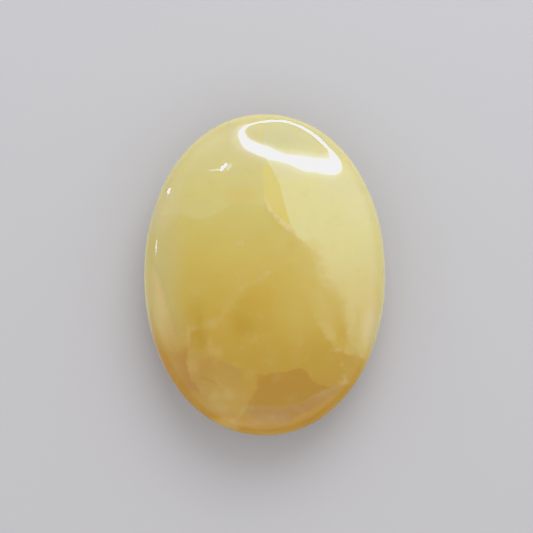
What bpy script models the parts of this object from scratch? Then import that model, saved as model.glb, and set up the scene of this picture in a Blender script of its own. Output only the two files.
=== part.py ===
"""A polished palm stone: one smooth pebble of lemon calcite, a little longer than wide, made to be held.

The stone is a single solid. Seen from above it is an oval that is a touch fuller than an ellipse, and the
profile from its crown to its rim is fuller again, so the face is gently domed and the rim is round.
A small flat spot is ground on the back, and the stone rests on it.

Metres, +Z up. The origin is the middle of the flat spot, and +Y runs along the stone's length.
"""

import bmesh
import bpy
from math import pi, tan
from mathutils import Vector

LENGTH = 0.070
WIDTH = 0.0525
THICKNESS = 0.025  # from the flat spot up to the crown
SPOT_DEPTH = 0.00025  # what the grinding of the flat spot took off the back

OUTLINE_POWER = 2.07  # the oval seen from above: 2 is an ellipse, and more is squarer
PROFILE_POWER = 2.15  # the same for the curve from the crown to the rim

CELLS = 24  # faces along each edge of the block that is rounded into the stone
SNAP = 1e-6  # a point this near the cut counts as on it

CALCITE_COLOUR = (0.63, 0.56, 0.21, 1.0)  # lemon yellow
POLISH_ROUGHNESS = 0.06

HALF_WIDTH = WIDTH / 2
HALF_LENGTH = LENGTH / 2
HALF_THICKNESS = (THICKNESS + SPOT_DEPTH) / 2  # of the whole oval form, before the flat spot is ground
MIDDLE_HEIGHT = THICKNESS - HALF_THICKNESS  # of the form's middle above the flat spot
SPOT_DROP = MIDDLE_HEIGHT / HALF_THICKNESS  # how far below the middle the cut lies, as a share
SPOT_REACH = (1 - SPOT_DROP**PROFILE_POWER) ** (1 / PROFILE_POWER)  # the spot's size, as a share too


def clear_scene():
    for thing in list(bpy.data.objects):
        bpy.data.objects.remove(thing, do_unlink=True)


def polished_calcite():
    material = bpy.data.materials.new("lemon_calcite")
    material.use_nodes = True
    shader = material.node_tree.nodes["Principled BSDF"]
    shader.inputs["Base Color"].default_value = CALCITE_COLOUR
    shader.inputs["Roughness"].default_value = POLISH_ROUGHNESS
    shader.inputs["Metallic"].default_value = 0.0
    return material


def power_sum(across, along, power):
    """How far out a point lies on ovals of this power: 1 is on the oval that is 1 wide and 1 long."""
    return (abs(across) ** power + abs(along) ** power) ** (1 / power)


def rounded(corner):
    """The point of the stone's surface in the direction of this point of a cube from -1 to 1.

    The tangent spaces the cube's points by equal angles, so the faces come out nearly alike in size.
    """
    u, v, w = (tan(side * pi / 4) for side in corner)
    reach = power_sum(power_sum(u, v, OUTLINE_POWER), w, PROFILE_POWER)
    return Vector((u * HALF_WIDTH, v * HALF_LENGTH, w * HALF_THICKNESS)) / reach


def round_the_block(body):
    bmesh.ops.create_cube(body, size=2.0)
    bmesh.ops.subdivide_edges(body, edges=body.edges[:], cuts=CELLS - 1, use_grid_fill=True)
    for point in body.verts:
        point.co = rounded(point.co) + Vector((0, 0, MIDDLE_HEIGHT))


def grind_the_flat_spot(body):
    """Cuts the back off level at the origin's height and closes it with one flat face."""
    everything = body.verts[:] + body.edges[:] + body.faces[:]
    ground = bmesh.ops.bisect_plane(
        body,
        geom=everything,
        dist=SNAP,
        plane_co=(0, 0, 0),
        plane_no=(0, 0, 1),
        clear_inner=True,
    )
    rim = [edge for edge in ground["geom_cut"] if isinstance(edge, bmesh.types.BMEdge)]
    for point in {point for edge in rim for point in edge.verts}:
        out = SPOT_REACH / power_sum(point.co.x / HALF_WIDTH, point.co.y / HALF_LENGTH, OUTLINE_POWER)
        point.co = (point.co.x * out, point.co.y * out, 0.0)
    bmesh.ops.contextual_create(body, geom=rim)


def make_palm_stone():
    body = bmesh.new()
    round_the_block(body)
    grind_the_flat_spot(body)
    bmesh.ops.recalc_face_normals(body, faces=body.faces[:])
    mesh = bpy.data.meshes.new("palm_stone")
    body.to_mesh(mesh)
    body.free()
    mesh.materials.append(polished_calcite())
    mesh.shade_smooth()
    stone = bpy.data.objects.new("palm_stone", mesh)
    bpy.context.scene.collection.objects.link(stone)
    return stone


clear_scene()
make_palm_stone()
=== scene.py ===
# %% [markdown]
# # A palm stone of polished lemon calcite
# A palm stone is a smooth pebble that is cut and polished because it is pleasant to hold. This one is
# yellow calcite, a soft mineral that lets light in, scatters it among clouds and healed cracks, and lets
# it out again. The shape is simple, so nearly all of the work is in the finish: the glow, the bands of
# colour, and the wet-looking polish. The lesson starts from a plain solid of the right size, which stays
# untouched as the frame.

# %% Load the frame
import math

import bpy
from mathutils import Matrix, Vector
from mathutils.geometry import interpolate_bezier


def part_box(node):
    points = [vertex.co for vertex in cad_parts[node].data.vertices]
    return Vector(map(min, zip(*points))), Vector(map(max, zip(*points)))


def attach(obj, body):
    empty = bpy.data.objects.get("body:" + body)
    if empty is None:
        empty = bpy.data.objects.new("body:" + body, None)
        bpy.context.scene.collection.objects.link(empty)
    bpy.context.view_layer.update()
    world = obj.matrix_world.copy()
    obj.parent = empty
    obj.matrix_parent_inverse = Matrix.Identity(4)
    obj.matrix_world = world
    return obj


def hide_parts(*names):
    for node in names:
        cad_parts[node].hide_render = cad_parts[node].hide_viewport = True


MM = 0.001

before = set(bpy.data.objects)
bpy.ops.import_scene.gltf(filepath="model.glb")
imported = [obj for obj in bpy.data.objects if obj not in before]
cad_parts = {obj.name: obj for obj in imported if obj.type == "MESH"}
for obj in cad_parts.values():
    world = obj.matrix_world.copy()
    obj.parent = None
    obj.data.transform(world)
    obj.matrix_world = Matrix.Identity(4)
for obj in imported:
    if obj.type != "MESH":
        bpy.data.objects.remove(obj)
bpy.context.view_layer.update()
low, high = (Vector(corner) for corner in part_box("palm_stone"))
size = high - low
print("the frame has", len(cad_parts), "solid, of", [round(side / MM, 2) for side in size], "mm")

# %% [markdown]
# The stone lies on its back and the camera looks straight down on it, through a long lens that keeps the
# oval true. The picture is framed by real sizes, in millimetres at the height of the stone's rim.

# %% Place the camera
SPOT_DEPTH = 0.25 * MM  # what the grinding of the flat spot took off the back
half = Vector((size.x, size.y, size.z + SPOT_DEPTH)) / 2  # of the oval form before its back was ground
middle = Vector(((low.x + high.x) / 2, (low.y + high.y) / 2, high.z - half.z))

PICTURE_WIDTH = 116.2 * MM
CAMERA_HEIGHT = 440 * MM
STONE_OFF_CENTRE = Vector((-0.39, -1.83, 0)) * MM  # where the stone's middle is in the picture
FILM_WIDTH = 36.0
NEAREST_SEEN = 10 * MM

bpy.ops.object.camera_add(location=middle - STONE_OFF_CENTRE + Vector((0, 0, CAMERA_HEIGHT)))
camera = bpy.context.object
camera.data.sensor_width = FILM_WIDTH
camera.data.lens = FILM_WIDTH * CAMERA_HEIGHT / PICTURE_WIDTH
camera.data.clip_start = NEAREST_SEEN
bpy.context.scene.camera = camera
print("the lens is", round(camera.data.lens, 1), "mm")

# %% [markdown]
# A real picture never reaches full white all at once. The scene's own curve does the same here: it leaves
# the dark and middle values alone and bends the brightest ones down to a soft white.

# %% Soften the white
SOFT_WHITE = 0.885
BEND = ((0.72, 0.72), (0.86, 0.84))
ALL_CHANNELS = 3  # the curve that bends red, green and blue together

view = bpy.context.scene.view_settings
view.view_transform = "Standard"
view.use_curve_mapping = True
view.curve_mapping.extend = "HORIZONTAL"
curve = view.curve_mapping.curves[ALL_CHANNELS]
curve.points[1].location = (1.0, SOFT_WHITE)
for knot in BEND:
    curve.points.new(*knot)
view.curve_mapping.update()
print("the curve has", len(curve.points), "points")

# %% [markdown]
# The stone is rounded from a block, much as a lapidary does it: the block is cut into small faces, pulled
# into a ball and pressed to the stone's length, width and thickness. That gives an ellipsoid. The ground
# stone is a touch fuller, both in its outline and from its crown to its rim, so each point then moves out
# along its own ray until a power sum a little above 2 is satisfied. A plain ball from the Add menu would
# have poles, where the faces bunch up and the mirror-like polish would show it.

# %% Round the block
CELLS = 64  # faces along each edge of the block


def deselect_all():
    if bpy.context.object and bpy.context.object.mode != "OBJECT":
        bpy.ops.object.mode_set(mode="OBJECT")
    bpy.ops.object.select_all(action="DESELECT")


deselect_all()
bpy.ops.mesh.primitive_cube_add(size=2)
stone = bpy.context.object
stone.name = stone.data.name = "polished_stone"
bpy.ops.object.mode_set(mode="EDIT")
bpy.ops.mesh.subdivide(number_cuts=CELLS - 1)
bpy.ops.transform.tosphere(value=1.0)
bpy.ops.transform.resize(value=half)
bpy.ops.transform.translate(value=middle)
bpy.ops.object.mode_set(mode="OBJECT")
print("the ball has", len(stone.data.polygons), "faces")

# %% Fill out the form
OUTLINE_POWER = 2.07  # of the oval seen from above: 2 is an ellipse, and more is squarer
PROFILE_POWER = 2.15  # the same for the curve from the crown to the rim


def power_sum(across, along, power):
    return (abs(across) ** power + abs(along) ** power) ** (1 / power)


for point in stone.data.vertices:
    ray = point.co - middle
    around = power_sum(ray.x / half.x, ray.y / half.y, OUTLINE_POWER)
    point.co = middle + ray / power_sum(around, ray.z / half.z, PROFILE_POWER)
print("the crown is", round(max(point.co.z for point in stone.data.vertices) / MM, 2), "mm up")

# %% [markdown]
# The real stone can't roll, because its back is ground flat over a small oval. A bisect at the height
# where the stone rests takes the same sliver off and closes the cut, and a narrow inset keeps the shading
# of the flat face flat.

# %% Grind the flat spot
SPOT_EDGE = 0.3 * MM
SNAP = 1e-6  # a point this near the cut counts as on it
STRAIGHT_DOWN = -0.9999  # the height of a normal that points down

bpy.ops.object.mode_set(mode="EDIT")
bpy.ops.mesh.select_all(action="SELECT")
bpy.ops.mesh.bisect(
    plane_co=(0, 0, low.z),
    plane_no=(0, 0, 1),
    clear_inner=True,
    use_fill=True,
    threshold=SNAP,
)
bpy.ops.mesh.select_all(action="DESELECT")
bpy.ops.object.mode_set(mode="OBJECT")
for face in stone.data.polygons:
    face.select = face.normal.z < STRAIGHT_DOWN and abs(face.center.z - low.z) < SNAP
spot_area = sum(face.area for face in stone.data.polygons if face.select)
bpy.ops.object.mode_set(mode="EDIT")
bpy.ops.mesh.inset(thickness=SPOT_EDGE)
bpy.ops.mesh.select_all(action="SELECT")
bpy.ops.mesh.normals_make_consistent(inside=False)
bpy.ops.object.mode_set(mode="OBJECT")
bpy.ops.object.shade_smooth()

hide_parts("palm_stone")
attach(stone, "root")
print("the flat spot is", round(spot_area / MM**2), "square mm")

# %% [markdown]
# Calcite glows because light goes some millimetres into it before it turns back. The Principled shader's
# subsurface does that: red and green travel further than blue, which is why thin parts look more yellow.
# The polish is a separate thing, a nearly smooth surface over the glow.

# %% Start the material
GLOW_DEPTH = 4 * MM
RED_GREEN_BLUE_DEPTHS = (1.0, 0.8, 0.3)  # as shares of the depth above

calcite = bpy.data.materials.new("lemon_calcite")
calcite.use_nodes = True
tree = calcite.node_tree
shader = tree.nodes["Principled BSDF"]
shader.inputs["Roughness"].default_value = 0.05
shader.inputs["IOR"].default_value = 1.58
shader.inputs["Subsurface Weight"].default_value = 1.0
shader.inputs["Subsurface Radius"].default_value = RED_GREEN_BLUE_DEPTHS
shader.inputs["Subsurface Scale"].default_value = GLOW_DEPTH
stone.data.materials.clear()
stone.data.materials.append(calcite)
print("the material is", calcite.name)

# %% [markdown]
# The colour needs hundreds of nodes, and wired one by one they would be a tangle. A few helpers let it be
# written like a sum instead: each makes its nodes, wires their inputs and passes on the output.


# %% Helpers that reckon
def feed(socket, value):
    if isinstance(value, bpy.types.NodeSocket):
        tree.links.new(value, socket)
    else:
        socket.default_value = value


def reckon(operation, *values):
    """A Math node on sockets and plain numbers."""
    step = tree.nodes.new("ShaderNodeMath")
    step.operation = operation
    for socket, value in zip(step.inputs, values):
        feed(socket, value)
    return step.outputs[0]


def plus(*values):
    total = values[0]
    for value in values[1:]:
        total = reckon("ADD", total, value)
    return total


def minus(first, second):
    return reckon("SUBTRACT", first, second)


def times(*values):
    total = values[0]
    for value in values[1:]:
        total = reckon("MULTIPLY", total, value)
    return total


def rising(value, start, end):
    """0 below start, 1 above end, with a soft S between them. Start above end makes it fall."""
    step = tree.nodes.new("ShaderNodeMapRange")
    step.interpolation_type = "SMOOTHSTEP"
    feed(step.inputs["Value"], value)
    feed(step.inputs["From Min"], start)
    feed(step.inputs["From Max"], end)
    return step.outputs["Result"]


def between(value, start, end, soft):
    return times(rising(value, start - soft, start + soft), rising(value, end + soft, end - soft))


def split(value):
    step = tree.nodes.new("ShaderNodeSeparateXYZ")
    feed(step.inputs[0], value)
    return step.outputs


# %% Helpers that colour
def clouds(where, per_mm, detail, rough=0.5):
    """A Noise Texture whose lumps are about 1 / per_mm millimetres across. Returns value and colour."""
    step = tree.nodes.new("ShaderNodeTexNoise")
    feed(step.inputs["Vector"], where)
    step.inputs["Scale"].default_value = per_mm
    step.inputs["Detail"].default_value = detail
    step.inputs["Roughness"].default_value = rough
    return step.outputs[0], step.outputs[1]


def screen(red, green, blue):
    """A colour as a screen names it, 0 to 255, in the linear light that Blender mixes."""
    shares = (value / 255 for value in (red, green, blue))
    return tuple(s / 12.92 if s <= 0.04045 else ((s + 0.055) / 1.055) ** 2.4 for s in shares) + (1.0,)


def paint(under, over, share):
    """A Mix node. Its inputs 6 and 7 and its output 2 are the ones for colours."""
    step = tree.nodes.new("ShaderNodeMix")
    step.data_type = "RGBA"
    feed(step.inputs[0], share)
    feed(step.inputs[6], under)
    feed(step.inputs[7], over)
    return step.outputs[2]


def tell(what):
    print(what + ":", len(tree.nodes), "nodes so far")


# %% [markdown]
# The layers are bodies that go through the stone, not paint on its face. So the colours are drawn as seen
# from above, in millimetres from the stone's middle, x across and y along it, and the drawing leans over
# as it goes down through the lower half. The back then shows the same layers, moved over.

# %% Where a point is
LEAN_X, LEAN_Y = 0.60, -0.44  # how far a layer moves over for each millimetre that it goes down

coordinates = tree.nodes.new("ShaderNodeTexCoord")
ruler = tree.nodes.new("ShaderNodeMapping")
ruler.inputs["Location"].default_value = -middle / MM
ruler.inputs["Scale"].default_value = (1 / MM, 1 / MM, 1 / MM)
tree.links.new(coordinates.outputs["Object"], ruler.inputs["Vector"])
place = ruler.outputs[0]
x_mm, y_mm, z_mm = split(place)

below = times(minus(reckon("ABSOLUTE", z_mm), z_mm), 0.5)  # 0 above the rim, and the depth under it
through_x = reckon("MULTIPLY_ADD", below, LEAN_X, x_mm)
through_y = reckon("MULTIPLY_ADD", below, LEAN_Y, y_mm)
tell("the place")

# %% [markdown]
# A ruler-straight edge never looks like mineral. Every line below is drawn on a place that noise has
# pushed about a little, coarse and fine, so the same few points give a natural edge. The north of the
# stone is calm, with clean breaks, and the south is cloudy, so the push grows towards the south.

# %% Push the place about
CALM = 0.35  # mm of push in the north
MORE_IN_THE_SOUTH = 1.15

_, coarse = clouds(place, 0.16, detail=2.0)
_, fine = clouds(place, 0.7, detail=4.0, rough=0.6)
coarse_x, coarse_y, _ = split(coarse)
fine_x, fine_y, _ = split(fine)
unrest = reckon("MULTIPLY_ADD", rising(y_mm, 15.0, 4.0), MORE_IN_THE_SOUTH, CALM)
ragged_x = plus(through_x, times(plus(coarse_x, fine_x, -1.0), unrest))
ragged_y = plus(through_y, times(plus(coarse_y, fine_y, -1.0), unrest))
tell("the push")

# %% [markdown]
# A few brushes are enough for the whole stone. A step tells one side of a line from the other. A veil is
# crisp on the line and fades away on one side of it, as a healed crack does that leans into the stone. A
# thread is a thin line, a patch is a soft oval, and a dab is a patch with a colour in it.


# %% Brushes along a line
def traced(along, points):
    """The smooth line through these points (along, out), in millimetres, as a Float Curve."""
    first, last = points[0][0], points[-1][0]
    lowest = min(out for _, out in points) - 1
    highest = max(out for _, out in points) + 1
    step = tree.nodes.new("ShaderNodeFloatCurve")
    feed(step.inputs["Value"], reckon("MULTIPLY_ADD", along, 1 / (last - first), -first / (last - first)))
    curved = step.mapping.curves[0]
    scaled = [((a - first) / (last - first), (o - lowest) / (highest - lowest)) for a, o in points]
    curved.points[0].location = scaled[0]
    curved.points[1].location = scaled[-1]
    for spot in scaled[1:-1]:
        curved.points.new(*spot)
    step.mapping.update()
    return reckon("MULTIPLY_ADD", step.outputs[0], highest - lowest, lowest)


def line(points, upright=False, soft=0.5):
    """How far a point is above a line, or right of an upright one, and whether it is beside the line."""
    along, across = (ragged_y, ragged_x) if upright else (ragged_x, ragged_y)
    offset = minus(across, traced(along, points))
    return offset, between(along, points[0][0], points[-1][0], soft)


def other_side(offset):
    return times(offset, -1.0)


def step_over(offset, crisp):
    return rising(offset, -crisp, crisp)


def veil(offset, crisp, fade):
    """Crisp where the offset is 0, and fading as it grows."""
    thinning = reckon("EXPONENT", times(offset, -1 / fade))
    return times(rising(offset, -crisp, crisp), reckon("MINIMUM", thinning, 1.0))


def thread(offset, width):
    return rising(reckon("ABSOLUTE", offset), width, 0.0)


# %% Brushes for ovals
def patch(x, y, wide, tall, soft):
    """1 in an oval of these half sizes and 0 outside it, over a soft edge."""
    across = reckon("MULTIPLY_ADD", ragged_x, 1 / wide, -x / wide)
    along = reckon("MULTIPLY_ADD", ragged_y, 1 / tall, -y / tall)
    far = reckon("SQRT", reckon("MULTIPLY_ADD", across, across, times(along, along)))
    return rising(far, 1 + soft, 1 - soft)


def dab(under, tint, oval, soft, share, *within):
    """A patch of a tint. What follows the share keeps it within other zones."""
    return paint(under, tint, times(patch(*oval, soft), *within, share))


# %% [markdown]
# The ground colour runs along the stone, from pale lemon in the north to honey in the south, and part of
# that darkening towards the south is painted shade. A Color Ramp does that, and a slow noise lets it
# wander, so that the bands don't lie square across the stone.

# %% Ground colour
# the stone's own colour along its length, darkened towards the south by painted shade
LENGTHWISE_COLOUR_AND_SHADE = (
    (-34, (204, 152, 46)),
    (-29, (197, 157, 56)),
    (-24, (192, 152, 36)),
    (-17, (193, 156, 36)),
    (-9, (197, 163, 44)),
    (-3, (200, 171, 62)),
    (3, (204, 180, 80)),
    (11, (204, 187, 99)),
    (18, (207, 194, 116)),
    (34, (210, 200, 152)),
)
FOOT, HEAD = LENGTHWISE_COLOUR_AND_SHADE[0][0], LENGTHWISE_COLOUR_AND_SHADE[-1][0]
WANDER = 5.0  # mm

ramp = tree.nodes.new("ShaderNodeValToRGB")
stops = ramp.color_ramp.elements
while len(stops) < len(LENGTHWISE_COLOUR_AND_SHADE):
    stops.new(0.5)
for stop, (along, tint) in zip(stops, LENGTHWISE_COLOUR_AND_SHADE):
    stop.position = (along - FOOT) / (HEAD - FOOT)
    stop.color = screen(*tint)
slow, _ = clouds(place, 0.07, detail=1.0)
drifted = plus(through_y, times(minus(slow, 0.5), WANDER))
feed(ramp.inputs[0], reckon("MULTIPLY_ADD", drifted, 1 / (HEAD - FOOT), -FOOT / (HEAD - FOOT)))
colour = ramp.outputs[0]
tell("the ground")

# %% Palette
PALE_LEMON = screen(221, 213, 150)
CREAM = screen(219, 203, 138)
MILK = screen(214, 198, 132)
VEIL = screen(206, 176, 96)
BRIGHT_YELLOW = screen(223, 206, 112)
DEEP_GOLD = screen(193, 157, 34)
HONEY = screen(183, 136, 12)

# %% [markdown]
# Along the west rim a pale haze is painted into the colour, a painted reflection of bright surroundings.
# A veil on each side of one line draws its inner edge: grey-green on its inner side and rosy on its outer
# side.

# %% West haze, a painted reflection
WEST_REFLECTION_EDGE = (
    (-16.0, -18.2),
    (-13.0, -19.0),
    (-9.5, -20.2),
    (-6.0, -21.3),
    (-3.0, -22.1),
    (-1.0, -22.8),
    (1.0, -23.6),
    (2.5, -24.4),
)
# painted reflection: a pale haze along the west rim
painted_west_reflection = rising(through_x, -15.5, -23.5)
colour = paint(colour, screen(208, 189, 118), times(painted_west_reflection, between(through_y, -14.0, 30.0, 5.0), 0.85))
offset, beside = line(WEST_REFLECTION_EDGE, upright=True, soft=1.5)
colour = paint(colour, screen(187, 172, 102), times(veil(offset, 0.6, 3.2), beside, 0.5))
colour = paint(colour, screen(216, 186, 130), times(veil(other_side(offset), 0.5, 4.0), beside, 0.5))
colour = dab(colour, screen(194, 180, 108), (-21.6, 5.0, 3.2, 5.5), 0.5, 0.4)
colour = dab(colour, screen(196, 156, 74), (-20.4, -11.2, 1.6, 3.0), 0.7, 0.35)
tell("the west haze")

# %% [markdown]
# The stone is a mosaic. A crack that healed long ago runs down from the north end and then slants to the
# east rim, and the calcite east of it is the palest. It is crisp above and dissolves into clouds below,
# so the step over this line is given a softness that grows on the way down.

# %% East zone
EAST_EDGE = (
    (-19.0, 22.5),
    (-17.0, 20.5),
    (-12.0, 18.2),
    (-8.0, 16.8),
    (-5.4, 16.2),
    (-4.0, 15.0),
    (-2.0, 13.6),
    (0.0, 12.0),
    (2.6, 11.6),
    (4.8, 10.4),
    (6.5, 8.6),
    (8.4, 7.0),
    (10.8, 5.5),
    (14.5, 4.3),
    (20.0, 2.8),
    (23.5, 1.1),
    (25.1, 0.4),
    (34.9, 0.0),
)
east = minus(ragged_x, traced(ragged_y, EAST_EDGE))
east_soft = reckon("MULTIPLY_ADD", rising(ragged_y, 10.5, 1.0), 2.2, 0.2)
east_share = rising(reckon("DIVIDE", east, east_soft), -1.0, 1.0)
west_share = minus(1.0, east_share)
east_colour = paint(screen(217, 196, 124), PALE_LEMON, rising(ragged_y, -12.0, 12.0))
east_colour = paint(east_colour, screen(202, 197, 148), rising(ragged_y, 23.5, 31.0))
colour = paint(colour, east_colour, times(east_share, 0.92))
tell("the east zone")

# %% Clouds at the edge of the east zone
FLECKS = (
    (13.4, -0.4, 1.6, 0.6),
    (14.4, -2.0, 1.2, 0.5),
    (12.6, 4.9, 1.3, 0.4),
    (12.2, 2.4, 1.0, 0.5),
)
fringe = times(veil(other_side(east), 0.25, 2.2), between(ragged_y, -3.0, 9.0, 1.0))
colour = paint(colour, CREAM, times(fringe, 0.45))
colour = dab(colour, screen(210, 184, 92), (9.6, 4.8, 2.2, 2.2), 0.7, 0.4)
for oval in FLECKS:
    colour = dab(colour, screen(224, 206, 148), oval, 0.8, 0.4)
tell("the edge")

# %% [markdown]
# The north is pale on both sides of the crack. West of it, a crisp shoulder line crosses the stone, with
# a veil that fades upwards from it.

# %% North
SHOULDER = (
    (-23.9, 13.1),
    (-21.7, 12.8),
    (-17.9, 13.1),
    (-14.7, 12.1),
    (-12.5, 12.2),
    (-10.3, 13.1),
    (-8.1, 14.4),
    (-6.5, 15.1),
    (-2.7, 15.2),
    (-0.7, 15.0),
)
over_shoulder, _ = line(SHOULDER)
colour = paint(colour, screen(212, 198, 126), times(veil(over_shoulder, 0.4, 6.0), west_share, 0.6))
colour = dab(colour, screen(206, 197, 128), (-14.5, 14.2, 3.5, 1.8), 0.7, 0.45, west_share)
colour = dab(colour, screen(209, 183, 96), (-4.9, 17.0, 3.2, 1.7), 0.7, 0.5, west_share)
shade_by_crack = times(veil(other_side(east), 0.1, 4.0), rising(ragged_y, 25.0, 31.0))
colour = paint(colour, screen(208, 196, 132), times(shade_by_crack, 0.5))
# painted reflection: a pale sheen near the north-west rim
colour = dab(colour, screen(208, 197, 156), (-21.5, 18.0, 3.0, 7.0), 0.7, 0.4)
colour = dab(colour, screen(222, 214, 170), (20.5, 20.0, 3.5, 8.0), 0.7, 0.45)
colour = dab(colour, screen(218, 210, 170), (5.5, 23.2, 6.5, 2.4), 0.8, 0.5, east_share)
colour = dab(colour, screen(190, 178, 132), (-8.0, 31.6, 2.8, 1.7), 0.7, 0.35)
colour = dab(colour, screen(218, 210, 172), (14.2, 19.0, 3.4, 3.0), 0.7, 0.35)
tell("the north")

# %% [markdown]
# Where the crack and the shoulder meet, a splinter of the stone is the brightest yellow of all: the
# wedge. It ends below in a feather, a short crack whose broken edge catches the light. Noise breaks a
# narrow band along the feather's line into barbs.

# %% Wedge
FEATHER = ((0.0, 16.2), (1.2, 14.0), (2.6, 12.2), (4.5, 10.6), (6.5, 9.4))

feather, _ = line(FEATHER)
wedge = times(
    rising(ragged_x, -0.7, 0.3),
    west_share,
    step_over(feather, 0.35),
    rising(ragged_y, 25.2, 23.0),
)
by_the_crack = veil(other_side(east), 0.1, 1.4)
colour = paint(colour, BRIGHT_YELLOW, times(wedge, 0.5))
colour = paint(
    colour,
    screen(221, 200, 98),
    times(wedge, by_the_crack, rising(ragged_y, 21.0, 17.0), 0.45),
)
tell("the wedge")

# %% Feather
along_feather = between(ragged_x, 0.0, 6.4, 0.4)
barbs = times(between(feather, -0.9, 0.7, 0.35), rising(fine_x, 0.3, 0.6))
colour = paint(colour, screen(224, 204, 150), times(barbs, along_feather, west_share, 0.8))
below_feather = veil(other_side(plus(feather, 0.8)), 0.4, 2.2)
colour = paint(colour, screen(203, 182, 88), times(below_feather, along_feather, west_share, 0.5))
colour = dab(colour, screen(203, 178, 80), (6.6, 7.6, 1.8, 1.4), 0.7, 0.55, west_share)
tell("the feather")

# %% [markdown]
# Below the shoulder the stone is golden, darkest in a few cells where the light goes in deepest, and
# paler in clouds between them. Neither has edges, so dabs over each other make them, large ones first.

# %% Golden heart
HEART = (
    (DEEP_GOLD, (-4.6, -9.7, 2.4, 4.4), 0.6, 0.85),
    (screen(186, 156, 4), (-4.0, -7.8, 1.7, 2.4), 0.6, 0.7),
    (screen(187, 150, 10), (-4.6, -10.8, 1.9, 2.4), 0.8, 0.5),
    (screen(199, 162, 42), (-2.6, -5.2, 3.4, 3.6), 0.9, 0.5),
    (screen(206, 182, 92), (8.0, -7.0, 5.0, 6.0), 0.8, 0.5),
    # painted shade: the south-west made darker and redder
    (screen(190, 134, 48), (-17.0, -21.0, 5.0, 8.0), 0.6, 0.35),
    (screen(190, 157, 34), (-14.8, -7.7, 1.6, 2.1), 0.6, 0.6),
    (screen(186, 152, 16), (-13.6, -9.9, 1.1, 1.3), 0.6, 0.6),
    (screen(189, 153, 16), (-13.9, -13.3, 2.0, 2.3), 0.4, 0.9),
    (screen(208, 186, 106), (13.6, -4.6, 2.6, 3.8), 0.7, 0.5),
    (MILK, (-5.2, 7.0, 0.9, 0.6), 0.6, 0.4),
)
patchy, _ = clouds(place, 0.45, detail=4.0, rough=0.6)
broken = rising(patchy, 0.34, 0.62)
for tint, oval, soft, share in HEART:
    colour = dab(colour, tint, oval, soft, share)
tell("the heart")

# %% [markdown]
# Milky veins branch through the gold. Each is a veil beside a traced line, so it has one crisp edge, and
# a patchy noise breaks its brightest part.

# %% Veins
WEST_VEIN = (
    (-9.2, -9.4),
    (-7.8, -7.2),
    (-6.3, -4.8),
    (-4.8, -2.9),
    (-2.7, -1.7),
    (0.1, -0.6),
    (1.4, 0.8),
    (4.4, 2.2),
    (6.4, 4.6),
)
EAST_VEIN = (
    (-16.9, 17.7),
    (-15.3, 15.2),
    (-13.6, 13.9),
    (-11.2, 12.6),
    (-8.9, 11.4),
    (-6.0, 9.5),
    (-2.2, 7.3),
    (3.3, 6.1),
)
RIM_VEIN = ((-16.6, 20.2), (-14.7, 18.9), (-12.6, 18.1), (-9.0, 17.8), (-6.0, 17.4))

offset, beside = line(WEST_VEIN, soft=1.5)
colour = paint(colour, VEIL, times(veil(offset, 1.4, 4.0), beside, 0.36))
colour = paint(colour, MILK, times(thread(offset, 1.3), beside, broken, 0.1))
offset, beside = line(EAST_VEIN, upright=True, soft=1.5)
wide_veil = times(veil(offset, 1.2, 18.0), beside, west_share)
denser_below = reckon("MULTIPLY_ADD", rising(ragged_y, -5.0, -12.0), 0.45, 0.3)
colour = paint(colour, screen(210, 184, 100), times(wide_veil, denser_below))
milky_edge = times(veil(plus(offset, 0.5), 0.5, 1.6), beside, broken)
colour = paint(colour, MILK, times(milky_edge, rising(ragged_y, -6.0, -11.0), 0.4))
offset, beside = line(RIM_VEIN, upright=True, soft=1.5)
colour = paint(colour, CREAM, times(veil(plus(offset, 0.3), 0.3, 1.3), beside, broken, 0.5))
colour = dab(colour, screen(200, 162, 40), (16.3, -13.4, 1.3, 2.6), 0.6, 0.65)
colour = dab(colour, screen(206, 182, 92), (19.8, -11.5, 0.6, 3.6), 0.7, 0.4)
tell("the set of veins")

# %% [markdown]
# In the south-west the veins close up into a net round dark cells. Its strands are short and blurred, so
# they are dabs too: broken ones for the strands, and small whole ones for last touches between them and
# in the heart.

# %% Net of veins
STRANDS = (
    (-11.5, -10.2, 1.3, 0.8),
    (-12.0, -14.2, 0.8, 1.6),
    (-18.0, -14.4, 0.9, 1.9),
    (-17.0, -11.8, 1.0, 0.8),
)
LAST_TOUCHES = (
    (screen(186, 147, 4), (-13.8, -13.5, 1.4, 1.8), 0.5, 0.65),
    (screen(186, 146, 14), (-5.4, -10.9, 0.8, 1.1), 0.7, 0.35),
    (screen(206, 176, 100), (-15.0, -11.4, 1.1, 0.4), 0.7, 0.35),
    (screen(220, 200, 142), (0.6, 0.3, 0.9, 0.4), 0.7, 0.2),
    (screen(214, 182, 112), (-10.8, -10.3, 0.9, 1.2), 0.7, 0.32),
    (screen(214, 182, 112), (-10.4, -16.5, 1.5, 1.3), 0.7, 0.32),
    (screen(214, 182, 112), (-16.2, -13.2, 0.4, 2.4), 0.7, 0.32),
    (screen(188, 158, 62), (-14.2, -17.2, 2.2, 1.1), 0.6, 0.4),
    (screen(192, 153, 20), (-17.6, -15.2, 3.0, 1.8), 0.7, 0.42),
)
for oval in STRANDS:
    colour = dab(colour, screen(213, 186, 116), oval, 0.9, 0.36, broken)
for tint, oval, soft, share in LAST_TOUCHES:
    colour = dab(colour, tint, oval, soft, share)
tell("the net")

# %% [markdown]
# At the foot a clear brown pane lies in the stone, with a pale crescent under it, which is a painted
# reflection. Both are closed shapes with crisp edges, so each is a product of steps over the lines that
# bound it.

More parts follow.
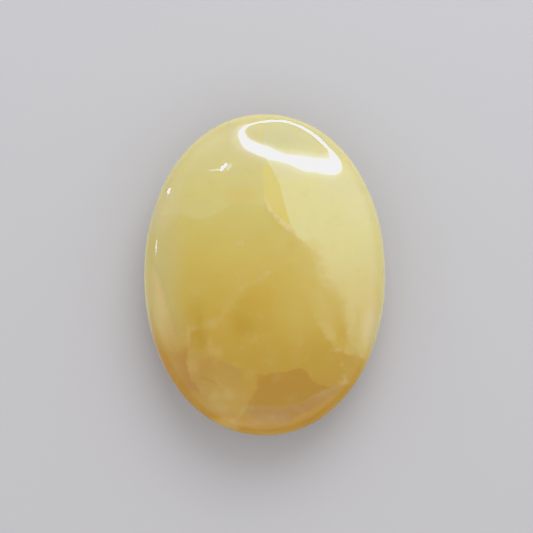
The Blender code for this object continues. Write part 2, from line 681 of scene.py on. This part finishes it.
# %% Pane
PANE_TOP = (
    (-1.6, -20.9),
    (1.5, -21.0),
    (3.8, -21.0),
    (5.4, -20.2),
    (7.6, -19.9),
    (9.2, -21.0),
    (10.6, -22.8),
    (12.6, -23.7),
    (15.0, -23.9),
    (18.1, -22.9),
)
PANE_FOOT = (
    (-4.0, -27.8),
    (0.0, -28.2),
    (5.0, -28.0),
    (10.0, -26.0),
    (14.0, -24.3),
    (18.1, -22.6),
)
CRESCENT_FOOT = (
    (-4.3, -29.0),
    (-2.0, -30.6),
    (0.5, -31.4),
    (4.0, -31.6),
    (7.0, -30.4),
    (10.0, -28.9),
    (13.0, -27.2),
    (15.5, -25.6),
    (18.5, -23.4),
)
PANE_SIDE = ((-28.1, -3.9), (-25.1, -2.1), (-22.4, -1.4))

under_top = other_side(line(PANE_TOP)[0])
over_foot = line(PANE_FOOT)[0]
over_crescent = line(CRESCENT_FOOT)[0]
right_of_side = line(PANE_SIDE, upright=True)[0]
pane = times(
    step_over(under_top, 0.25),
    step_over(over_foot, 0.35),
    step_over(right_of_side, 0.7),
    rising(ragged_x, 15.0, 13.0),
)
pane_share = reckon("MULTIPLY_ADD", rising(ragged_y, -22.0, -28.0), -0.14, 0.9)
colour = paint(colour, HONEY, times(pane, pane_share))
tell("the pane")

# %% Crescent, a painted reflection
crescent_reflection = times(
    step_over(other_side(over_foot), 0.35),
    step_over(over_crescent, 0.5),
    between(ragged_x, -4.3, 18.5, 0.8),
)
crescent_reflection_colour = paint(screen(183, 138, 70), screen(187, 147, 86), rising(ragged_y, -29.4, -30.6))
crescent_reflection_colour = paint(crescent_reflection_colour, screen(181, 131, 56), rising(ragged_x, 3.0, 7.0))
colour = paint(colour, crescent_reflection_colour, times(crescent_reflection, 0.72))
below_crescent = times(step_over(other_side(over_crescent), 0.4), between(ragged_x, -1.0, 21.0, 1.5))
below_share = reckon("MULTIPLY_ADD", rising(ragged_x, 4.0, 12.0), 0.45, 0.4)
colour = paint(colour, screen(194, 146, 26), times(below_crescent, below_share))
# painted reflection: paler spots at the crescent's ends and a bright edge along its top
colour = dab(colour, screen(200, 164, 110), (-2.2, -31.8, 2.2, 0.9), 0.6, 0.4)
crescent_reflection_edge = times(veil(other_side(over_foot), 0.3, 0.9), between(ragged_x, 9.0, 18.0, 2.0))
colour = paint(colour, screen(214, 184, 118), times(crescent_reflection_edge, 0.3))
colour = dab(colour, screen(218, 190, 126), (17.4, -23.0, 1.2, 0.6), 0.6, 0.6)
tell("the crescent")

# %% [markdown]
# West of the pane lies a bank of cloud, and round it short cracks cross the corner, which turns brown
# under the first of them. A veil draws a crack that leans into the stone, and a thread one that is seen
# edge on.

# %% South-west corner
CORNER_TOP = ((-13.4, -18.2), (-11.0, -18.0), (-9.2, -18.2), (-7.6, -19.0), (-5.0, -19.8))
PUFFS = (
    (-11.0, -26.0, 1.0, 1.3),
    (-7.6, -25.6, 1.3, 0.9),
    (-9.6, -28.4, 1.5, 1.0),
)
left_of_side = minus(1.0, step_over(right_of_side, 0.4))
colour = dab(colour, screen(197, 163, 78), (-9.5, -25.8, 5.2, 4.6), 0.5, 0.5, left_of_side)
offset, beside = line(CORNER_TOP, soft=1.4)
colour = paint(colour, screen(184, 140, 62), times(veil(other_side(offset), 0.4, 4.0), beside, 0.6))
colour = dab(colour, screen(208, 176, 104), (-15.2, -19.6, 1.3, 1.6), 0.7, 0.35)
# painted shade: a dark brown spot at the south-west rim
colour = dab(colour, screen(182, 128, 14), (-16.2, -24.2, 2.0, 2.4), 0.7, 0.42)
colour = dab(colour, screen(190, 144, 44), (-12.2, -25.2, 1.6, 2.6), 0.7, 0.25)
for oval in PUFFS:
    colour = dab(colour, screen(209, 179, 104), oval, 0.9, 0.4)
tell("the south-west corner")

# %% South-west cracks
RIM_CRACK = (
    (-25.4, -13.8),
    (-23.6, -14.8),
    (-21.4, -16.0),
    (-19.6, -16.4),
    (-17.0, -16.4),
    (-15.8, -16.2),
)
DARK_CRACK = ((-14.0, -22.0), (-12.5, -22.0), (-11.2, -22.7), (-10.2, -23.4))
PALE_CRACK = ((-10.8, -21.8), (-9.4, -23.5), (-7.2, -24.4))
FOOT_CRACK = ((-32.0, -7.3), (-30.3, -5.3), (-28.8, -4.3), (-28.0, -3.9))

offset, beside = line(RIM_CRACK, upright=True, soft=0.8)
colour = paint(colour, screen(184, 130, 46), times(veil(other_side(offset), 0.35, 4.5), beside, 0.62))
colour = paint(colour, screen(204, 172, 90), times(veil(offset, 0.35, 1.4), beside, 0.38))
offset, beside = line(DARK_CRACK)
colour = paint(colour, screen(182, 136, 30), times(thread(offset, 0.6), beside, 0.55))
offset, beside = line(PALE_CRACK, soft=0.4)
colour = paint(colour, MILK, times(thread(offset, 0.9), beside, 0.1))
offset, beside = line(FOOT_CRACK, upright=True, soft=0.6)
off_crescent = minus(1.0, crescent_reflection)
colour = paint(colour, screen(186, 140, 44), times(veil(offset, 0.2, 2.4), beside, off_crescent, 0.3))
colour = paint(colour, MILK, times(thread(plus(offset, 0.3), 0.7), beside, 0.18))
tell("the set of cracks")

# %% [markdown]
# In the south-east one crack runs in from the rim, honey coloured below and with a milky line above it,
# and a milky thread crosses it.

# %% South-east corner
EAST_CRACK = ((14.2, -16.6), (15.3, -16.5), (17.0, -16.9), (19.7, -17.4), (22.1, -18.8))
CROSSING = ((-23.0, 17.4), (-20.0, 16.9), (-17.2, 16.2))

offset, beside = line(EAST_CRACK, soft=1.0)
colour = paint(colour, screen(196, 153, 46), times(veil(other_side(offset), 0.3, 5.0), beside, 0.6))
colour = paint(colour, CREAM, times(thread(plus(offset, -0.5), 0.8), beside, broken, 0.3))
offset, beside = line(CROSSING, upright=True)
colour = paint(colour, MILK, times(thread(offset, 0.8), beside, broken, 0.25))
tell("the south-east corner")

# %% [markdown]
# The rim is thin, so light comes through it from all sides. That glow is painted into the colour: a pale
# bright line in the north, which turns to honey in the south. Its place is known by the height above or
# below the stone's middle, so it needs no line: a height near 0 is the rim.

# %% Rim, a painted glow
height = reckon("ABSOLUTE", z_mm)
south = rising(plus(ragged_y, times(x_mm, 0.1)), -8.0, -28.0)
north = minus(1.0, south)
# painted glow: the rim lit through from all sides
colour = paint(colour, screen(240, 226, 158), times(rising(height, 8.0, 3.0), north, 0.35))
colour = paint(colour, screen(252, 238, 160), times(rising(height, 4.2, 1.2), north, 0.7))
south_east = times(rising(x_mm, 2.0, 16.0), rising(y_mm, -28.0, -17.0))
south_rim_glow = paint(screen(212, 164, 72), screen(232, 182, 70), south_east)
colour = paint(colour, south_rim_glow, times(rising(height, 7.0, 3.0), south, 0.85))
foot_rim_glow = paint(screen(214, 162, 64), screen(226, 188, 96), rising(x_mm, -18.0, -6.0))
colour = paint(colour, foot_rim_glow, times(rising(height, 4.0, 1.5), south, 0.6))
tell("the rim")

# %% Lighter and rosier parts of the rim, painted reflections, and a deeper one, painted shade
# painted reflection: a lighter spot on the south rim
colour = dab(colour, screen(232, 202, 128), (-8.4, -32.4, 3.0, 1.3), 0.7, 0.45)
# painted shade: a deeper, darker spot on the south-east rim
colour = dab(colour, screen(202, 146, 40), (10.4, -32.0, 3.0, 1.6), 0.7, 0.3)
# painted reflections: pale spots on the east and north-west rim
colour = dab(colour, screen(226, 210, 168), (23.0, -11.5, 1.6, 4.5), 0.7, 0.4)
colour = dab(colour, screen(216, 204, 178), (-24.0, 13.8, 1.4, 4.0), 0.7, 0.35)
# painted reflection: a rosy glow on the south-west rim
rosy_reflection = times(rising(height, 6.0, 2.0), patch(-23.0, -18.0, 5.0, 8.0, 0.7))
colour = paint(colour, screen(228, 164, 96), times(rosy_reflection, 0.45))
tell("the rest of the rim")

# %% [markdown]
# Last, a fine mottling goes over everything. It is faint, but without it the smooth parts look like
# plastic.

# %% Fine mottling
mottle, _ = clouds(place, 0.3, detail=5.0, rough=0.55)
colour = paint(colour, CREAM, times(rising(mottle, 0.5, 0.75), 0.12))
colour = paint(colour, DEEP_GOLD, times(rising(mottle, 0.48, 0.25), 0.1))
feed(shader.inputs["Base Color"], colour)
tell("the mottling")

# %% [markdown]
# The floor is a plain pale sheet. A polished stone mirrors its surroundings, but a mirrored floor would
# lay a hard line along the stone's flank, so the floor doesn't show in the polish.

# %% Floor
FLOOR_SIZE = 3.0
FLOOR_COLOUR = (0.532, 0.515, 0.522, 1.0)

deselect_all()
bpy.ops.mesh.primitive_plane_add(size=FLOOR_SIZE, location=(0, 0, low.z))
floor = bpy.context.object
floor.name = floor.data.name = "floor"
sheet = bpy.data.materials.new("pale_floor")
sheet.use_nodes = True
sheet.node_tree.nodes["Principled BSDF"].inputs["Base Color"].default_value = FLOOR_COLOUR
sheet.node_tree.nodes["Principled BSDF"].inputs["Roughness"].default_value = 0.7
floor.data.materials.append(sheet)
floor.visible_glossy = False
print("the floor is", FLOOR_SIZE, "m wide")

# %% [markdown]
# The light is a soft even studio. Most of it is the world's: a ramp over the height of each direction
# makes it bright above, darkest a little below the horizon and lighter again straight down. What the
# polish mirrors matters as much as what lights the stone, and the south rim would mirror the bright low
# south as a pale line, so those directions are dimmed. One large round lamp adds a little shape. It
# lights the stone but doesn't show in the polish.

# %% Room light
ROOM = (
    (-1.0, 0.5),
    (-0.8, 0.38),
    (-0.3, 0.2),
    (0.1, 0.8),
)
ROOM_COLOUR = (0.95, 0.97, 1.0, 1.0)
DIMMED_TO = 0.4

room = bpy.data.worlds.new("room")
bpy.context.scene.world = room
room.use_nodes = True
sky = room.node_tree
sky.nodes["Background"].inputs["Color"].default_value = ROOM_COLOUR
direction = sky.nodes.new("ShaderNodeTexCoord")
parts = sky.nodes.new("ShaderNodeSeparateXYZ")
sky.links.new(direction.outputs["Generated"], parts.inputs[0])


def sky_range(socket, start, end, lowest=0.0):
    """Lowest below start and 1 above end."""
    step = sky.nodes.new("ShaderNodeMapRange")
    step.inputs["From Min"].default_value = start
    step.inputs["From Max"].default_value = end
    step.inputs["To Min"].default_value = lowest
    sky.links.new(socket, step.inputs["Value"])
    return step.outputs["Result"]


def sky_math(operation, first, second):
    step = sky.nodes.new("ShaderNodeMath")
    step.operation = operation
    sky.links.new(first, step.inputs[0])
    sky.links.new(second, step.inputs[1])
    return step.outputs[0]


shade = sky.nodes.new("ShaderNodeValToRGB")
while len(shade.color_ramp.elements) < len(ROOM):
    shade.color_ramp.elements.new(0.5)
for stop, (up, bright) in zip(shade.color_ramp.elements, ROOM):
    stop.position = (up + 1) / 2
    stop.color = (bright, bright, bright, 1.0)
sky.links.new(sky_range(parts.outputs["Z"], -1.0, 1.0), shade.inputs[0])
not_south = sky_range(parts.outputs["Y"], -0.3, -0.1, DIMMED_TO)
not_low = sky_range(parts.outputs["Z"], -0.5, -0.2)
brightness = sky_math("MULTIPLY", shade.outputs["Color"], sky_math("MAXIMUM", not_south, not_low))
sky.links.new(brightness, sky.nodes["Background"].inputs["Strength"])
print("the room has", len(sky.nodes), "nodes")

# %% Soft lamp
SOFT_LAMP_AT = (0.1, 0.45, 0.55)
SOFT_LAMP_SIZE = 0.5
SOFT_LAMP_WATTS = 2.0

bpy.ops.object.light_add(type="AREA", location=SOFT_LAMP_AT)
key = bpy.context.object
key.name = "soft_lamp"
key.data.shape = "DISK"
key.data.size = SOFT_LAMP_SIZE
key.data.energy = SOFT_LAMP_WATTS
key.rotation_euler = (middle - key.location).to_track_quat("-Z", "Y").to_euler()
key.visible_camera = False
key.visible_glossy = False
print("the soft lamp is", round((key.location - middle).length, 2), "m away")

# %% [markdown]
# The bright ring near the north end is a ring lamp that the polish mirrors. A true stone's polish is
# never quite even, so the mirrored ring is a little bent, and here the lamp takes on the bend. Each edge
# is drawn as it looks from the camera. Then the light's way is walked backwards, from the camera to the
# stone and, turned back by the polish, on to a flat lamp 400 mm away.

# %% Run the light backwards
RING_WAY = Vector((0.3225, 0.8076, 0.4937))  # from the stone's middle to the lamp
RING_FAR = 400 * MM
ROUNDS = 12  # of finding the height of the stone under a spot of the picture


def walked_back(seen):
    """The spot of the stone that is seen here, and the way the polish turns the camera's ray there.

    What is seen is given in mm from the stone's middle, and the spot in metres from it.
    """
    eye = camera.location - middle
    spot = seen * MM
    for _ in range(ROUNDS):
        around = power_sum(spot.x / half.x, spot.y / half.y, OUTLINE_POWER)
        rise = (1 - around**PROFILE_POWER) ** (1 / PROFILE_POWER)
        spot = eye + (seen * MM - eye) * (1 - rise * half.z / eye.z)
    out = around ** (PROFILE_POWER - OUTLINE_POWER)
    facing = Vector(
        (
            out * math.copysign(abs(spot.x / half.x) ** (OUTLINE_POWER - 1), spot.x) / half.x,
            out * math.copysign(abs(spot.y / half.y) ** (OUTLINE_POWER - 1), spot.y) / half.y,
            rise ** (PROFILE_POWER - 1) / half.z,
        )
    )
    return spot, (spot - eye).normalized().reflect(facing.normalized())


# %% Helpers for lamps
LAMP_COLOUR = (0.6, 0.72, 1.0, 1.0)


def circle_to_move(count, fill="NOTHING"):
    deselect_all()
    bpy.ops.mesh.primitive_circle_add(vertices=count, radius=1, fill_type=fill)
    return bpy.context.object


def band_of_light(name, outer, inner, far):
    """The flat band between two closed lines, which are drawn as they look from the camera."""
    loops = []
    for edge in (outer, inner):
        loops.append(circle_to_move(len(edge)))
        for corner, seen in zip(loops[-1].data.vertices, edge):
            spot, way = walked_back(seen)
            corner.co = middle + spot + way * (far - spot.dot(RING_WAY)) / way.dot(RING_WAY)
    loops[0].select_set(True)
    bpy.ops.object.join()
    bpy.ops.object.mode_set(mode="EDIT")
    bpy.ops.mesh.select_all(action="SELECT")
    bpy.ops.mesh.bridge_edge_loops()
    bpy.ops.object.mode_set(mode="OBJECT")
    band = bpy.context.object
    band.name = band.data.name = name
    return band


def make_lamp(thing, strength):
    """Make a thing shine, but show only in the polish. Returns its wires."""
    glow = bpy.data.materials.new(thing.name + "_glow")
    glow.use_nodes = True
    wires = glow.node_tree
    wires.nodes.remove(wires.nodes["Principled BSDF"])
    lamp = wires.nodes.new("ShaderNodeEmission")
    lamp.inputs["Color"].default_value = LAMP_COLOUR
    lamp.inputs["Strength"].default_value = strength
    wires.links.new(lamp.outputs[0], wires.nodes["Material Output"].inputs["Surface"])
    thing.data.materials.append(glow)
    thing.visible_camera = False
    thing.visible_diffuse = False
    thing.visible_transmission = False
    thing.visible_volume_scatter = False
    thing.visible_shadow = False
    print(thing.name, "has", len(thing.data.vertices), "corners")
    return wires


# %% Ring light
RING_STRENGTH = 16.0
SMOOTH_STEPS = 4  # corners for each point that is given below
OUTER_EDGE = (
    (12.2, 29.6),
    (10.7, 30.8),
    (9.3, 31.7),
    (8.3, 32.3),
    (6.5, 33.0),
    (5.0, 33.5),
    (3.2, 33.8),
    (0.9, 33.7),
    (-0.6, 33.4),
    (-2.9, 32.9),
    (-4.6, 32.3),
    (-5.6, 31.1),
    (-5.5, 29.6),
    (-4.4, 27.7),
    (-2.3, 26.6),
    (0.7, 25.3),
    (3.0, 24.9),
    (5.2, 24.3),
    (8.5, 22.8),
    (11.1, 22.5),
    (13.8, 21.9),
    (16.2, 22.4),
    (16.7, 24.2),
    (15.2, 26.5),
)
INNER_EDGE = (
    (11.4, 29.6),
    (10.1, 30.7),
    (8.9, 31.5),
    (7.9, 32.0),
    (6.4, 32.7),
    (5.0, 33.2),
    (3.4, 33.4),
    (1.2, 33.4),
    (-0.3, 33.2),
    (-2.6, 32.8),
    (-4.1, 32.0),
    (-4.4, 30.9),
    (-3.4, 29.5),
    (-1.0, 28.4),
    (0.8, 27.9),
    (2.3, 27.1),
    (3.6, 26.5),
    (4.9, 26.1),
    (6.6, 26.0),
    (7.9, 25.9),
    (9.2, 25.7),
    (11.4, 25.3),
    (14.0, 25.3),
    (14.0, 26.9),
)


def smooth_loop(points):
    """A closed line that runs smoothly through these points."""
    knots = [Vector((x, y, 0)) for x, y in points]
    loop = []
    for number, end in enumerate(knots):
        before, start, after = knots[number - 2], knots[number - 1], knots[(number + 1) % len(knots)]
        pull, push = (end - before) / 6, (after - start) / 6
        loop += interpolate_bezier(start, start + pull, end - push, end, SMOOTH_STEPS + 1)[:-1]
    return loop


outer, inner = smooth_loop(OUTER_EDGE), smooth_loop(INNER_EDGE)
make_lamp(band_of_light("ring_light", outer, inner, RING_FAR), RING_STRENGTH)

# %% [markdown]
# The ring has a soft haze beside both its edges. More polish roughness would blur the whole ring, so the
# haze is a wider, fainter band of its own, a little further away. A colour attribute on its corners is 1
# at the ring and 0 at the far edge, and the lamp's strength follows it. A clear shader is added to the
# glow, because the band must not hide the room behind it.

# %% Haze beside the ring
RING_HEART = Vector((4.6, 29.6, 0))
THINNING = 1.3  # 1 fades evenly, and more fades sooner


def haze_beside(name, edge, wider, shift, strength, far):
    """A haze that begins at this edge of the ring and thins out to nothing at its own far edge."""
    stretch, move = Vector((*wider, 1)), Vector((*shift, 0))
    far_edge = [RING_HEART + (seen - RING_HEART) * stretch + move for seen in edge]
    haze = band_of_light(name, far_edge, edge, far)
    nearness = haze.data.color_attributes.new("nearness", "FLOAT_COLOR", "POINT")
    for number, dot in enumerate(nearness.data):
        near = 1.0 if number < len(edge) else 0.0  # the join puts this edge's own corners first
        dot.color = (near, near, near, 1.0)
    wires = make_lamp(haze, 1.0)
    near_ring = wires.nodes.new("ShaderNodeVertexColor")
    near_ring.layer_name = "nearness"
    thinning = wires.nodes.new("ShaderNodeMath")
    thinning.operation = "POWER"
    thinning.inputs[1].default_value = THINNING
    bright = wires.nodes.new("ShaderNodeMath")
    bright.operation = "MULTIPLY"
    bright.inputs[1].default_value = strength
    clear = wires.nodes.new("ShaderNodeBsdfTransparent")
    both = wires.nodes.new("ShaderNodeAddShader")
    wires.links.new(near_ring.outputs["Color"], thinning.inputs[0])
    wires.links.new(thinning.outputs[0], bright.inputs[0])
    wires.links.new(bright.outputs[0], wires.nodes["Emission"].inputs["Strength"])
    wires.links.new(wires.nodes["Emission"].outputs[0], both.inputs[0])
    wires.links.new(clear.outputs[0], both.inputs[1])
    wires.links.new(both.outputs[0], wires.nodes["Material Output"].inputs["Surface"])


haze_beside("haze_outside", outer, (1.12, 1.16), (-1.1, -0.7), 3.4, RING_FAR + MM)
haze_beside("haze_inside", inner, (0.94, 0.78), (0.0, 0.8), 5.0, RING_FAR + 2 * MM)

# %% [markdown]
# Three small glints sit in the north-west. Each is a small lamp, drawn as an oval as it looks from the
# camera and walked back in the same way. The highest has two fainter ones beside it, for its arm and its
# veil.

# %% Glints
GLINT_CORNERS = 24
GLINTS = (
    # name, middle, half length and half width in mm, turn in degrees, strength
    ("glint_high", (-9.05, 23.45), (1.05, 0.32), 52, 30.0),
    ("glint_arm", (-10.7, 22.95), (1.75, 0.22), 10, 7.0),
    ("glint_veil", (-7.8, 23.5), (1.0, 0.45), 60, 5.0),
    ("glint_rim", (-20.9, 18.3), (0.9, 0.12), 72, 40.0),
    ("glint_side", (-23.65, 6.0), (1.7, 0.13), 86, 9.0),
)
for name, centre, reach, turn, strength in GLINTS:
    glint = circle_to_move(GLINT_CORNERS, fill="NGON")
    glint.name = glint.data.name = name
    turned = Matrix.Rotation(math.radians(turn), 3, "Z")
    for corner in glint.data.vertices:
        across, along = corner.co.x * reach[0], corner.co.y * reach[1]
        seen = Vector((*centre, 0)) + turned @ Vector((across, along, 0))
        spot, way = walked_back(seen)
        corner.co = middle + spot + way * RING_FAR
    make_lamp(glint, strength)
